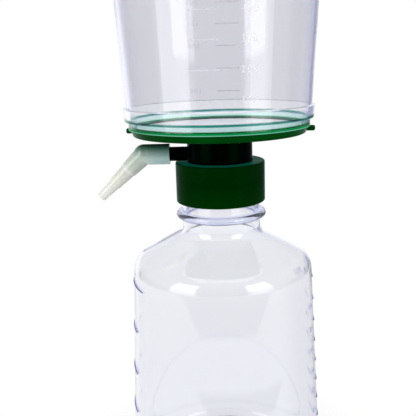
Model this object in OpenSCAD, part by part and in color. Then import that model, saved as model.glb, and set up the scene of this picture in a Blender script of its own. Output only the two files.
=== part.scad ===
// Bottle-top vacuum filtration unit on its receiver bottle.
// Millimetres, +Z up. The origin is the centre of the bottle's foot, on the surface it stands on.
// The side arm and the hose adaptor point along -X, and the front is -Y.

/* [Bottle] */
// Height of the bottle, foot to rim
bottle_h = 187.3; // [170:0.1:240]
// Outer diameter at the foot, above the rounded heel
foot_d = 112.6; // [94:0.1:150]
// Outer diameter where the lines of the side and the shoulder meet
shoulder_d = 99.9; // [84:0.1:130]
// Thickness of the bottle's wall
bottle_wall = 2; // [1.2:0.1:3]
// Radius of the rounded heel
heel_r = 6; // [4:0.5:12]
// Height of the push-up in the middle of the foot
pushup_h = 3; // [1:0.5:8]
// Width of the flat ring that the bottle stands on
foot_land_w = 2; // [1.5:0.1:5]
// Radius that rounds the shoulder into the side
shoulder_r = 10.5; // [6:0.5:20]
// Slope of the shoulder below horizontal
shoulder_slope = 28.7; // [12:0.1:40]
// Outer diameter of the neck
neck_d = 43.2; // [36:0.1:52]
// Height of the neck, from its root on the shoulder to the rim
neck_h = 35; // [30:0.1:45]
// Radius of the fillet at the neck's root
neck_root_r = 2.5; // [1:0.5:5]
// How far the ring bead stands out from the neck
bead_proud = 3.3; // [2:0.1:5]
// Height of the ring bead
bead_h = 3.8; // [2.5:0.1:6]
// Gap between the collar's lower edge and the top of the ring bead
bead_gap = 5.2; // [1:0.1:7]

/* [Volume marks on the bottle] */
// Volume at the top mark, in millilitres
bottle_ml = 1000; // [500:100:1000]
// Volume between two marks of the right-hand scale, in millilitres
bottle_step_ml = 100; // [50:50:200]
// How far a mark stands out from the side
mark_proud = 0.45; // [0.2:0.05:0.8]
// Height of a mark
mark_h = 0.8; // [0.5:0.1:1.5]
// Angle that a mark of the right-hand scale spans
right_mark_angle = 16; // [8:1:30]
// Angle that a mark of the left-hand scale spans
left_mark_angle = 28; // [16:1:40]

/* [Collar] */
// Height of the collar
collar_h = 22; // [18:0.1:26]
// Thickness of the collar's side
collar_wall = 1.8; // [1.2:0.1:3]
// Thickness of the collar's top
collar_top_t = 2; // [1.4:0.1:3]
// Radius that rounds the collar's outer edges
collar_edge_r = 0.7; // [0.3:0.1:1.1]

/* [Gasket] */
// Thickness of the gasket
gasket_t = 1.9; // [1:0.1:3]
// Radial depth of the groove that holds the gasket on the base's neck
gasket_groove = 0.8; // [0.4:0.05:1.1]
// How far the gasket reaches past the outside of the bottle's rim
gasket_over = 0.4; // [0.2:0.1:0.6]

/* [Filter base] */
// Thickness of the rim
rim_t = 1.3; // [1:0.1:3]
// Radial width of the lip that surrounds the membrane
lip_w = 2.3; // [1.5:0.1:4]
// Height of the band under the rim
band_h = 3.7; // [3:0.1:8]
// How far the band's top is set in from the rim
band_inset = 0.9; // [0.4:0.1:1.5]
// How far the band draws in from its top to its bottom
band_draft = 1; // [0:0.1:3]
// Radius of the band's lower edge
band_edge_r = 1.2; // [0.4:0.1:2]
// Thickness of the floor
floor_t = 1.6; // [1.2:0.1:3]
// Radial width of the ledge that carries the membrane's edge
ledge_w = 1.9; // [1.5:0.1:4]
// Thickness of a drain rib
rib_t = 0.9; // [0.6:0.1:2]
// Distance from one ring of drain ribs to the next
rib_pitch = 5; // [3.5:0.5:10]
// Number of drain channels that cross the ribs
channel_count = 12; // [6:1:24]
// Width of a drain channel
channel_w = 3; // [2:0.5:5]
// Thickness of the neck's wall
spout_wall = 1.8; // [1.2:0.1:3]
// Radial room between the base's neck and the inside of the bottle's neck
mouth_room = 1.75; // [0.8:0.05:3]
// Clear height between the collar and the underside of the base
under_base_h = 15.1; // [12:0.1:24]
// How far the base's neck reaches below the bottle's rim
spout_reach = 6.3; // [3:0.1:10]
// Bore of the drip tube
drip_bore_d = 8.4; // [5:0.1:12]
// Thickness of the drip tube's wall
drip_wall = 1.6; // [1:0.1:3]
// How far the drip tube reaches below the base's neck
drip_reach = 5; // [2:0.5:8]

/* [Side arm and pegs] */
// Outer diameter of the side arm
arm_d = 7.8; // [6:0.1:9]
// Bore of the side arm
arm_bore_d = 4.8; // [3:0.1:5.5]
// Length of the cotton plug in the side arm
plug_l = 8; // [5:0.5:12]
// Distance from the side arm's open end to the cotton plug
plug_depth = 3; // [1:0.5:5]
// Diameter of a peg on the rim
peg_d = 3; // [2:0.1:3.5]
// How far a peg stands out past the rim
peg_proud = 2.6; // [1:0.1:6]
// Angle of the pegs from the X axis
peg_turn = -5; // [-30:1:30]

/* [Membrane] */
// Thickness of the membrane
membrane_t = 0.25; // [0.15:0.05:0.6]

/* [Cup] */
// Height of the cup above the base's rim
cup_h = 134.7; // [115:0.1:170]
// Outer diameter of the wall just above the flange
cup_d = 99.2; // [82:0.1:120]
// Angle by which the wall leans out
cup_taper = 3.1; // [0.5:0.1:6]
// Thickness of the wall
cup_wall = 1.8; // [1.2:0.1:2.5]
// How far the flange stands out from the wall, whose lean its side follows
flange_proud = 1.4; // [0.8:0.1:3]
// Height of the flange
flange_h = 6.6; // [4:0.1:12]
// Radius of the flange's edges and of the corner above it
flange_edge_r = 0.3; // [0.2:0.1:1.2]
// How far the flange stands out from the ring below it
foot_ring_inset = 2.3; // [1:0.1:3]
// Height of the ring between the flange and the base
foot_ring_h = 3.1; // [2:0.1:6]
// Radius of the hollow at the foot of the wall inside
cup_floor_r = 1; // [1:0.1:3]
// How far the bead round the mouth stands out
brim_proud = 1.2; // [0.6:0.1:2.5]
// Height of the bead round the mouth
brim_h = 3; // [2:0.1:6]
// Volume at the cup's top mark, in millilitres
cup_ml = 1000; // [500:100:1000]
// Volume between two marks on the cup, in millilitres
cup_step_ml = 100; // [50:50:200]
// Height of the scale's zero above the membrane, for the liquid that the membrane holds back
cup_zero_h = 2; // [0:0.1:5]
// How far a mark on the cup stands out
cup_mark_proud = 0.3; // [0.15:0.05:0.5]
// Height of a mark on the cup
cup_mark_h = 0.5; // [0.4:0.1:1]
// Angle that a mark on the cup spans
cup_mark_angle = 16; // [8:1:30]

/* [Lid] */
// Thickness of the lid
lid_t = 1.6; // [1:0.1:3]
// How far the skirt reaches below the cup's rim
lid_skirt_h = 6; // [4:0.1:12]
// How far the inner ring reaches below the cup's rim
lid_ring_h = 2.6; // [1.5:0.1:6]
// Diameter of the raised panel
lid_panel_d = 70; // [40:1:80]
// How far the panel is raised
lid_panel_rise = 1; // [0.5:0.1:1.5]

/* [Hose adaptor] */
// Outer diameter of the socket
socket_d = 11.4; // [10:0.1:14]
// Distance from the collar's side to the socket's mouth
socket_gap = 2.8; // [1:0.1:6]
// Depth of the socket
socket_depth = 10.5; // [6:0.1:12]
// Distance from the socket's mouth to the bend
bend_l = 14.3; // [13:0.1:20]
// Angle of the leg below horizontal
leg_angle = 43; // [20:1:60]
// Diameter of the leg at the bend
leg_d = 11; // [9:0.1:11.4]
// Length of the leg's first step
first_step_l = 12.2; // [10:0.1:16]
// Length of each step after the first
step_l = 11; // [8:0.1:16]
// Number of steps on the leg
step_count = 3; // [2:1:3]
// Diameter lost over each millimetre of a step
step_taper = 0.138; // [0.05:0.001:0.15]
// Diameter lost from one step to the next
step_drop = 0.6; // [0.2:0.05:0.8]
// Bore of the leg
leg_bore_d = 3.4; // [2:0.1:3.6]

/* [Clearances] */
// Radial gap between parts that turn on each other
run_gap = 0.08; // [0.05:0.01:0.1]
// Gap between faces that seat on each other
seat_gap = 0.05; // [0.02:0.01:0.1]
// Gap round a part that is laid in place or moves past another
loose_gap = 0.3; // [0.1:0.05:0.6]
// Radial room for the thread, between the bottle's neck and the collar
thread_room = 1.1; // [0.8:0.1:2]

/* [Hidden] */
$fn = 96;
// How deep a mark is rooted in the wall, and the turn that keeps the bottle's seam clear of its marks
sink = 0.6;
seam_turn = 90;

// Heights, from the foot up
gasket_z = bottle_h + seat_gap;
ceiling_z = gasket_z + gasket_t + seat_gap;
collar_top_z = ceiling_z + collar_top_t;
collar_foot_z = collar_top_z - collar_h;
bead_z = collar_foot_z - bead_gap - bead_h / 2;
base_z = collar_top_z + under_base_h;
floor_z = base_z + floor_t;
rim_z = base_z + band_h;
base_top_z = rim_z + rim_t;
membrane_z = rim_z + seat_gap;
tongue_z = membrane_z + membrane_t + seat_gap;
flange_z = base_top_z + foot_ring_h;
flange_top_z = flange_z + flange_h;
cup_top_z = base_top_z + cup_h;
spout_end_z = bottle_h - spout_reach;
drip_end_z = spout_end_z - drip_reach;
arm_z = collar_top_z + loose_gap + arm_d / 2;

// Radii
neck_r = neck_d / 2;
collar_bore_r = neck_r + thread_room;
collar_r = collar_bore_r + collar_wall;
spout_r = neck_r - bottle_wall - mouth_room;
chamber_r = spout_r - spout_wall;
drip_r = drip_bore_d / 2 + drip_wall;
flange_r = cup_d / 2 + flange_proud;
rim_r = flange_r - foot_ring_inset;
band_top_r = rim_r - band_inset;
band_foot_r = band_top_r - band_draft;
lip_in_r = rim_r - lip_w;
ledge_in_r = lip_in_r - ledge_w;
tongue_r = lip_in_r - loose_gap;

// The bottle's side and shoulder, as two lines with their outward normals
root_z = bottle_h - neck_h;
corner = [shoulder_d / 2, root_z - tan(shoulder_slope) * (shoulder_d / 2 - neck_r)];
side_tilt = atan((foot_d / 2 - corner.x) / (corner.y - heel_r));
side_n = [cos(side_tilt), sin(side_tilt)];
cone_n = [sin(shoulder_slope), cos(shoulder_slope)];
side_c = side_n * corner;
cone_c = cone_n * corner;
heel_c = [(side_c - heel_r - side_n.y * heel_r) / side_n.x, heel_r];
shoulder_c = [(side_c - shoulder_r) * cone_n.y - (cone_c - shoulder_r) * side_n.y,
              (cone_c - shoulder_r) * side_n.x - (side_c - shoulder_r) * cone_n.x]
             / cos(side_tilt + shoulder_slope);
root_c = [neck_r + neck_root_r,
          (cone_c + neck_root_r - cone_n.x * (neck_r + neck_root_r)) / cone_n.y];
pushup_r = heel_c.x - foot_land_w - pushup_h;

// Places on the hose adaptor
mouth_x = collar_r + socket_gap;
arm_reach = mouth_x + socket_depth - loose_gap;
bend_x = mouth_x + bend_l;
leg_l = first_step_l + step_l * (step_count - 1);

// Points along an arc about a centre
function arc(c, r, from, to, n = 10) =
    [for (i = [0 : n]) c + r * [cos(from + (to - from) * i / n), sin(from + (to - from) * i / n)]];

// Outline of the bottle, set in from its outside by w
function bottle_outline(w, top) = concat(
    [[0, pushup_h + w], [pushup_r + w * tan(22.5), pushup_h + w],
     [pushup_r + pushup_h + w * tan(22.5), w]],
    arc(heel_c, heel_r - w, -90, side_tilt),
    arc(shoulder_c, shoulder_r - w, side_tilt, 90 - shoulder_slope),
    arc(root_c, neck_root_r + w, 270 - shoulder_slope, 180, 6),
    [[neck_r - w, top], [0, top]]);

// Outer radius of the bottle's side at height z
function side_r(z) = (side_c - side_n.y * z) / side_n.x;

// Outer radius of the cup's wall at height z
function wall_r(z) = cup_d / 2 + tan(cup_taper) * (z - flange_top_z);

// Height that a volume in mm3 fills above a floor of radius r, where the radius grows by k for each mm
function fill_h(volume, r, k) =
    abs(k) < 0.001 ? volume / (PI * r * r) : (pow(pow(r, 3) + 3 * k * volume / PI, 1 / 3) - r) / k;

function bottle_mark_z(ml) =
    pushup_h + bottle_wall
    + fill_h(ml * 1000, side_r(pushup_h + bottle_wall) - bottle_wall, -tan(side_tilt));

function cup_mark_z(ml) =
    tongue_z + cup_zero_h + fill_h(ml * 1000, wall_r(tongue_z) - cup_wall, tan(cup_taper));

// Whether height z lies on the straight part of the bottle's side, or of the cup's wall
function on_side(z) = z > heel_c.y + mark_h && z < shoulder_c.y + shoulder_r * side_n.y - mark_h;
function on_wall(z) = z > flange_top_z + flange_edge_r + cup_mark_h && z < cup_top_z - brim_h - cup_mark_h;

// A raised mark round a wall of radius r, centred at angle a
module mark(r, z, a, span, h, proud) {
    translate([0, 0, z])
        rotate([0, 0, a - span / 2])
            rotate_extrude(angle = span)
                polygon([[r - sink, -h / 2], [r, -h / 2], [r + proud, -h / 6], [r + proud, h / 6],
                         [r, h / 2], [r - sink, h / 2]]);
}

// A scale of marks on the bottle's side, step_ml apart and centred at angle a
module bottle_marks(step_ml, a, span) {
    for (ml = [step_ml : step_ml : bottle_ml]) {
        z = bottle_mark_z(ml);
        if (on_side(z)) mark(side_r(z), z, a, span, mark_h, mark_proud);
    }
}

module bottle() {
    color([0.86, 0.88, 0.93, 0.45]) {
        rotate([0, 0, seam_turn])
            difference() {
                union() {
                    rotate_extrude() polygon(bottle_outline(0, bottle_h));
                    translate([0, 0, bead_z])
                        rotate_extrude()
                            translate([neck_r + bead_proud - bead_h / 2, 0]) circle(d = bead_h);
                }
                rotate_extrude() polygon(bottle_outline(bottle_wall, bottle_h + 1));
            }
        bottle_marks(bottle_step_ml, 0, right_mark_angle);
        bottle_marks(2 * bottle_step_ml, 188, left_mark_angle);
    }
}

module collar() {
    e = collar_edge_r;
    lead_in = collar_wall / 3;
    color([0.02, 0.27, 0.08])
        rotate_extrude()
            polygon(concat(
                [[spout_r + run_gap, ceiling_z], [collar_bore_r, ceiling_z],
                 [collar_bore_r, collar_foot_z + lead_in],
                 [collar_bore_r + lead_in, collar_foot_z]],
                arc([collar_r - e, collar_foot_z + e], e, -90, 0, 5),
                arc([collar_r - e, collar_top_z - e], e, 0, 90, 5),
                [[spout_r + run_gap, collar_top_z]]));
}

module gasket() {
    color([0.85, 0.85, 0.82])
        translate([0, 0, gasket_z])
            rotate_extrude()
                polygon([[spout_r - gasket_groove, 0], [neck_r + gasket_over, 0],
                         [neck_r + gasket_over, gasket_t], [spout_r - gasket_groove, gasket_t]]);
}

// Floor, band, rim and membrane ledge of the base, as one ring about the drip bore
module base_plate() {
    e = band_edge_r;
    rotate_extrude()
        polygon(concat(
            [[drip_bore_d / 2, base_z]],
            arc([band_foot_r - e, base_z + e], e, -90, 0, 6),
            [[band_top_r, rim_z], [rim_r, rim_z], [rim_r, base_top_z], [lip_in_r, base_top_z],
             [lip_in_r, rim_z], [ledge_in_r, rim_z], [ledge_in_r, floor_z],
             [drip_bore_d / 2, floor_z]]));
}

module drain_ribs() {
    difference() {
        for (r = [drip_r + rib_pitch : rib_pitch : ledge_in_r - rib_pitch / 2])
            translate([0, 0, floor_z - sink])
                rotate_extrude()
                    translate([r - rib_t / 2, 0]) square([rib_t, rim_z - floor_z + sink]);
        for (i = [0 : channel_count - 1])
            rotate([0, 0, 360 / channel_count * (i + 0.5)])
                translate([drip_r, -channel_w / 2, floor_z])
                    cube([ledge_in_r, channel_w, rim_z - floor_z + 1]);
    }
}

// Neck of the base, with the gasket's groove round it
module spout() {
    rotate_extrude()
        polygon([[chamber_r, spout_end_z], [spout_r - collar_wall / 3, spout_end_z],
                 [spout_r, spout_end_z + collar_wall], [spout_r, gasket_z],
                 [spout_r - gasket_groove, gasket_z], [spout_r - gasket_groove, gasket_z + gasket_t],
                 [spout_r, gasket_z + gasket_t], [spout_r, base_z + sink],
                 [chamber_r, base_z + sink]]);
}

module drip_tube() {
    rotate_extrude()
        polygon([[drip_bore_d / 2, drip_end_z], [drip_r - drip_wall / 2, drip_end_z],
                 [drip_r, drip_end_z + drip_wall], [drip_r, base_z + sink],
                 [drip_bore_d / 2, base_z + sink]]);
}

module side_arm() {
    translate([-(chamber_r + spout_wall / 2), 0, arm_z])
        rotate([0, -90, 0]) cylinder(d = arm_d, h = arm_reach - chamber_r - spout_wall / 2);
}

module peg(a) {
    tip = peg_d / 5;
    rotate([0, 0, a])
        translate([band_foot_r - 1, 0, (base_z + rim_z) / 2])
            rotate([0, 90, 0]) {
                cylinder(d = peg_d, h = rim_r + peg_proud - tip - band_foot_r + 1);
                translate([0, 0, rim_r + peg_proud - tip - band_foot_r + 1])
                    cylinder(d1 = peg_d, d2 = peg_d - 2 * tip, h = tip);
            }
}

module filter_base() {
    color([0.02, 0.27, 0.08])
        difference() {
            union() {
                base_plate();
                drain_ribs();
                spout();
                drip_tube();
                side_arm();
                peg(peg_turn);
                peg(180 + peg_turn);
            }
            translate([-(chamber_r - 1), 0, arm_z])
                rotate([0, -90, 0]) cylinder(d = arm_bore_d, h = arm_reach);
        }
}

module port_plug() {
    color([0.95, 0.94, 0.9])
        translate([-(arm_reach - plug_depth), 0, arm_z])
            rotate([0, 90, 0]) cylinder(d = arm_bore_d - 2 * seat_gap, h = plug_l);
}

module membrane() {
    color([0.97, 0.97, 0.96])
        translate([0, 0, membrane_z]) cylinder(r = tongue_r, h = membrane_t);
}

module cup_wall_solid() {
    e = flange_edge_r;
    flange_foot_r = flange_r - tan(cup_taper) * flange_h;
    in_foot_z = base_top_z + cup_floor_r;
    brim_z = cup_top_z - brim_h;
    rotate_extrude()
        polygon(concat(
            [[ledge_in_r, tongue_z], [tongue_r, tongue_z], [tongue_r, base_top_z],
             [rim_r, base_top_z], [rim_r, flange_z]],
            arc([flange_foot_r - e, flange_z + e], e, -90, 0, 5),
            arc([flange_r - e, flange_top_z - e], e, 0, 90, 5),
            arc([wall_r(flange_top_z) + e, flange_top_z + e], e, 270, 180, 5),
            [[wall_r(brim_z), brim_z], [wall_r(brim_z) + brim_proud, brim_z + brim_proud],
             [wall_r(brim_z) + brim_proud, cup_top_z],
             [wall_r(cup_top_z) - cup_wall, cup_top_z]],
            arc([wall_r(in_foot_z) - cup_wall - cup_floor_r, in_foot_z], cup_floor_r, 0, -90, 8)));
}

module funnel() {
    color([0.88, 0.89, 0.94, 0.4]) {
        cup_wall_solid();
        for (ml = [cup_step_ml : cup_step_ml : cup_ml], a = [-97, 83]) {
            z = cup_mark_z(ml);
            if (on_wall(z)) mark(wall_r(z), z, a, cup_mark_angle, cup_mark_h, cup_mark_proud);
        }
    }
}

module lid() {
    skirt_in_r = wall_r(cup_top_z - brim_h) + brim_proud + loose_gap;
    skirt_r = skirt_in_r + lid_t;
    ring_r = wall_r(cup_top_z - lid_ring_h) - cup_wall - loose_gap;
    panel_r = lid_panel_d / 2;
    e = lid_t / 2;
    color([0.88, 0.89, 0.94, 0.4])
        rotate_extrude()
            polygon(concat(
                [[0, cup_top_z + lid_panel_rise], [panel_r, cup_top_z + lid_panel_rise],
                 [panel_r + lid_panel_rise, cup_top_z], [ring_r - lid_t, cup_top_z],
                 [ring_r - lid_t, cup_top_z - lid_ring_h], [ring_r, cup_top_z - lid_ring_h],
                 [ring_r, cup_top_z], [skirt_in_r, cup_top_z],
                 [skirt_in_r, cup_top_z - lid_skirt_h], [skirt_r, cup_top_z - lid_skirt_h]],
                arc([skirt_r - e, cup_top_z + lid_t - e], e, 0, 90, 5),
                [[panel_r + 2 * lid_panel_rise, cup_top_z + lid_t],
                 [panel_r + lid_panel_rise, cup_top_z + lid_t + lid_panel_rise],
                 [0, cup_top_z + lid_t + lid_panel_rise]]));
}

// Start of step i, along the leg
function step_start(i) = i == 0 ? 0 : first_step_l + step_l * (i - 1);

// Diameter of the leg at the start of step i
function step_d(i) = leg_d - step_start(i) * step_taper - i * step_drop;

module leg_steps() {
    for (i = [0 : step_count - 1]) {
        l = i == 0 ? first_step_l : step_l;
        translate([0, 0, step_start(i)])
            cylinder(d1 = step_d(i), d2 = step_d(i) - l * step_taper, h = l);
    }
}

module hose_adaptor() {
    color([0.93, 0.93, 0.9])
        translate([-bend_x, 0, arm_z])
            difference() {
                union() {
                    rotate([0, 90, 0]) cylinder(d = socket_d, h = bend_l);
                    sphere(d = socket_d);
                    rotate([0, -90 - leg_angle, 0]) leg_steps();
                }
                translate([bend_l - socket_depth, 0, 0])
                    rotate([0, 90, 0]) cylinder(d = arm_d + 2 * run_gap, h = socket_depth + 1);
                rotate([0, 90, 0]) cylinder(d = leg_bore_d, h = bend_l);
                sphere(d = leg_bore_d);
                rotate([0, -90 - leg_angle, 0]) cylinder(d = leg_bore_d, h = leg_l + 1);
            }
}

bottle();
collar();
gasket();
filter_base();
port_plug();
membrane();
funnel();
lid();
hose_adaptor();
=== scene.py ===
"""Looks of the bottle-top vacuum filtration unit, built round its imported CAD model.

Metres, +Z up, in the model's own frame. Sizes named below are in millimetres, as in the part's source,
and azimuths of the object are in degrees from +X, so its front is at -90.
"""

import math

import bmesh
import bpy
from mathutils import Matrix, Vector

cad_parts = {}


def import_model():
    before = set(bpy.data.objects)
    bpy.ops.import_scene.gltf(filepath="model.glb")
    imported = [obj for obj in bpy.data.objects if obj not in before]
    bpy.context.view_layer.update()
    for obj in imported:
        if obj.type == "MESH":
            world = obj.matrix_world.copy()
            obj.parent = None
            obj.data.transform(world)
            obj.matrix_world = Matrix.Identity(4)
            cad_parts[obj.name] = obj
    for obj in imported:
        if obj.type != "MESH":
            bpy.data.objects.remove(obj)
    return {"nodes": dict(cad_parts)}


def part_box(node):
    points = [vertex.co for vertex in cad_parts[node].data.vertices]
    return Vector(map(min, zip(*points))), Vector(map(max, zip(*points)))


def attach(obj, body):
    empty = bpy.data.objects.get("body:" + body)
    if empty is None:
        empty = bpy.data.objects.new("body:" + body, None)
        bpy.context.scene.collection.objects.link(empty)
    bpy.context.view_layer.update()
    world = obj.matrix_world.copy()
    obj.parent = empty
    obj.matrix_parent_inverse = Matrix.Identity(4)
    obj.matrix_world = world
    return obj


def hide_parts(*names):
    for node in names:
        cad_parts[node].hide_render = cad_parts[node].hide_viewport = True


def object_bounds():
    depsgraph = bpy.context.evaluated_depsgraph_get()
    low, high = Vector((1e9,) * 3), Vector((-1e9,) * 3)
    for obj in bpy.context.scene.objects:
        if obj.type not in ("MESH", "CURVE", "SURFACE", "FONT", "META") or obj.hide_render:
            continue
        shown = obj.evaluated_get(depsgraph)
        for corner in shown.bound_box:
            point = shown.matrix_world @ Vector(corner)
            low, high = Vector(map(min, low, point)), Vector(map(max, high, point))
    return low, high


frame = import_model()
cad_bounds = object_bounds()

MM = 0.001


# ---------------------------------------------------------------- sizes, in millimetres

def low_z(node):
    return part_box(node)[0].z / MM


def high_z(node):
    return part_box(node)[1].z / MM


BOTTLE_H = high_z("bottle")
FOOT_R = 56.3
SHOULDER_R = 49.95                          # where the lines of the side and the shoulder meet
BOTTLE_WALL = 2.0
HEEL_R = 6.0
PUSHUP_H = 3.0
FOOT_LAND_W = 2.0
SHOULDER_ROUND = 10.5
SHOULDER_SLOPE = math.radians(28.7)
NECK_R = 21.6
NECK_H = 35.0
NECK_ROOT_R = 4.5                           # rounder than the solid's 2.5, for the highlights
BEAD_PROUD = 3.3
BEAD_H = 3.8
BEAD_GAP = 5.2                              # from the bead up to the collar
RIM_ROUND = 0.5

COLLAR_FOOT_Z = low_z("collar")
COLLAR_BORE_R = NECK_R + 1.1
BEAD_Z = COLLAR_FOOT_Z - BEAD_GAP - BEAD_H / 2
THREAD_PITCH = 4.0
THREAD_W = 1.5
THREAD_FLANK = 0.45                         # width of each sloping side of the ridge
THREAD_PROUD = 0.85
THREAD_TURNS = 2.6
THREAD_FOOT_Z = COLLAR_FOOT_Z + 4.2
THREAD_RUNOUT = 0.08                        # turns in which the bottle's ridge rises and ends
COLLAR_THREAD_RUNOUT = 0.1
COLLAR_THREAD_DROP = 0.3                    # below the middle between two of the bottle's turns

BASE_TOP_Z = high_z("filter_base")
TONGUE_Z = low_z("funnel")
CUP_TOP_Z = high_z("funnel")
CUP_R = 49.6
CUP_TAPER = math.radians(3.1)
CUP_WALL = 1.8
FLANGE_PROUD = 1.4
FLANGE_H = 6.6
FLANGE_ROUND = 0.3
FOOT_RING_INSET = 2.3
FOOT_RING_H = 3.1
FOOT_CHAMFER = 0.2
CUP_FLOOR_R = 1.0
BRIM_PROUD = 1.2
BRIM_H = 3.0
BRIM_ROUND = 0.4
LIP_W = 2.3
LEDGE_W = 1.9
LOOSE_GAP = 0.3
WELD = 0.04                                 # depth of the cup's fused face below the base's top

LID_T = 1.6
LID_SKIRT_H = 6.0
LID_RING_H = 2.6
LID_PANEL_R = 35.0
LID_PANEL_RISE = 1.0
LID_SEAT_GAP = 0.02

FLANGE_R = CUP_R + FLANGE_PROUD
RIM_R = FLANGE_R - FOOT_RING_INSET
LEDGE_IN_R = RIM_R - LIP_W - LEDGE_W
TONGUE_R = RIM_R - LIP_W - LOOSE_GAP
FLANGE_Z = BASE_TOP_Z + FOOT_RING_H
FLANGE_TOP_Z = FLANGE_Z + FLANGE_H
ARM_Z = (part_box("port_plug")[0].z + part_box("port_plug")[1].z) / 2 / MM

MARKS_ML = range(100, 1001, 100)
MARK_FADE = 0.4                             # degrees in which a mark's ends run out
BOTTLE_MARK_H = 0.8
BOTTLE_MARK_PROUD = 0.45
CUP_MARK_H = 0.5
CUP_MARK_PROUD = 0.3
CUP_ZERO_H = 2.0                            # of the cup's scale, above the membrane
# middle and span in degrees, and volumes; the topmost mark on the left is longer than the others
BOTTLE_SCALES = [(0, 16, MARKS_ML), (188, 28, range(200, 801, 200)), (193, 38, [1000])]
CUP_SCALES = [(-97, 16), (83, 16)]

FONT_SIZE = 1.4                             # that gives digits 1 high
NUMBER_SUNK = 0.06                          # depth to which a number's back is set into its wall
CUP_NUMBER = {"height": 3.2, "thick": 0.3, "spacing": 1.3}
BOTTLE_NUMBER = {"height": 2.8, "thick": 0.4, "spacing": 1.0}
CUP_NUMBER_AZIMUTHS = {"front": -73.5, "back": 106.5}
BOTTLE_NUMBER_AZIMUTH = -22
TOP_NUMBER_AZIMUTH = -36                    # of the bottle's 1000, which stands above its mark
TOP_NUMBER_RISE = 5.8                       # of the same, above the centre of the shoulder's round

SHARP_ANGLE = 35                            # degrees between two faces, past which an edge is sharp
HELD_LENGTH = 0.8                           # flats longer than this are held straight
HOLD = 0.04                                 # distance of the holding points from a flat's ends
NEAR = 0.01                                 # radii and heights closer than this are the same
RAISED = 0.2                                # a point of a wall lifted by more than this is on a mark
COLUMN_GAP = 0.3                            # degrees kept free beside the edge of a mark
NECK_FIRST_ROW = 0.4                        # from the bead to the first row of the neck's mesh
NECK_ROW_H = 0.3                            # between its rows, which carry the thread


# ---------------------------------------------------------------- outlines

def arc(centre, r, start, end, n=10):
    """Points along an arc about a centre, angles in radians."""
    angles = [start + (end - start) * i / n for i in range(n + 1)]
    return [(centre[0] + r * math.cos(a), centre[1] + r * math.sin(a)) for a in angles]


def bottle_lines():
    """The bottle's side and shoulder: normals, distances and arc centres."""
    root_z = BOTTLE_H - NECK_H
    corner = (SHOULDER_R, root_z - math.tan(SHOULDER_SLOPE) * (SHOULDER_R - NECK_R))
    tilt = math.atan((FOOT_R - corner[0]) / (corner[1] - HEEL_R))
    side_n = (math.cos(tilt), math.sin(tilt))
    cone_n = (math.sin(SHOULDER_SLOPE), math.cos(SHOULDER_SLOPE))
    side_c = side_n[0] * corner[0] + side_n[1] * corner[1]
    cone_c = cone_n[0] * corner[0] + cone_n[1] * corner[1]
    heel = ((side_c - HEEL_R - side_n[1] * HEEL_R) / side_n[0], HEEL_R)
    det = math.cos(tilt + SHOULDER_SLOPE)
    a, b = side_c - SHOULDER_ROUND, cone_c - SHOULDER_ROUND
    shoulder = ((a * cone_n[1] - b * side_n[1]) / det, (b * side_n[0] - a * cone_n[0]) / det)
    root_r = NECK_R + NECK_ROOT_R
    root = (root_r, (cone_c + NECK_ROOT_R - cone_n[0] * root_r) / cone_n[1])
    return {"tilt": tilt, "side_n": side_n, "side_c": side_c, "heel": heel, "shoulder": shoulder,
            "root": root}


LINES = bottle_lines()


def side_r(z):
    """Outer radius of the bottle's side at height z."""
    return (LINES["side_c"] - LINES["side_n"][1] * z) / LINES["side_n"][0]


def bottle_r(z):
    """Outer radius of the bottle's side, or of the round corner above it, at height z."""
    r, centre_z = LINES["shoulder"]
    if z < centre_z + SHOULDER_ROUND * LINES["side_n"][1]:
        return side_r(z)
    return r + math.sqrt(SHOULDER_ROUND ** 2 - (z - centre_z) ** 2)


def wall_r(z):
    """Outer radius of the cup's wall at height z."""
    return CUP_R + math.tan(CUP_TAPER) * (z - FLANGE_TOP_Z)


def fill_h(volume, r, k):
    """Height that a volume in mm3 fills above a floor of radius r, where r grows by k for each mm."""
    return ((r ** 3 + 3 * k * volume / math.pi) ** (1 / 3) - r) / k


def bottle_mark_z(ml):
    floor_z = PUSHUP_H + BOTTLE_WALL
    return floor_z + fill_h(ml * 1000, side_r(floor_z) - BOTTLE_WALL, -math.tan(LINES["tilt"]))


def cup_mark_z(ml):
    return TONGUE_Z + CUP_ZERO_H + fill_h(ml * 1000, wall_r(TONGUE_Z) - CUP_WALL, math.tan(CUP_TAPER))


def mark_rows(z, h, r_at):
    """Four points across a mark on a wall: its two edges and the two edges of its crest."""
    return [(r_at(z + d), z + d) for d in (-h / 2, -h / 6, h / 6, h / 2)]


def bottle_skin(w):
    """Outlines of the bottle's foot with its heel, and of its shoulder, set in from its outside by w."""
    heel, shoulder, root = LINES["heel"], LINES["shoulder"], LINES["root"]
    up, slope = math.pi / 2, SHOULDER_SLOPE
    pushup_r = heel[0] - FOOT_LAND_W - PUSHUP_H
    cut = w * math.tan(math.radians(22.5))      # moves the corners of the 45-degree push-up
    foot = [(0, PUSHUP_H + w), (pushup_r * 0.5, PUSHUP_H + w), (pushup_r + cut, PUSHUP_H + w),
            (pushup_r + PUSHUP_H + cut, w)]
    return (foot + arc(heel, HEEL_R - w, -up, LINES["tilt"], 14),
            arc(shoulder, SHOULDER_ROUND - w, LINES["tilt"], up - slope, 24)
            + arc(root, NECK_ROOT_R + w, 3 * up - slope, 2 * up, 12))


def bead_arc():
    """The ring bead, from where its circle leaves the neck to where it meets it again."""
    r = BEAD_H / 2
    centre = (NECK_R + BEAD_PROUD - r, BEAD_Z)
    meet = math.acos((NECK_R - centre[0]) / r)
    return arc(centre, r, -meet, meet, 28)


def neck_rows():
    """The bead, and the neck above it in close rows."""
    bead = bead_arc()
    foot, top = bead[-1][1] + NECK_FIRST_ROW, BOTTLE_H - RIM_ROUND
    count = int((top - foot) / NECK_ROW_H)
    return bead + [(NECK_R, foot + (top - foot) * i / count) for i in range(count)]


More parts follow.
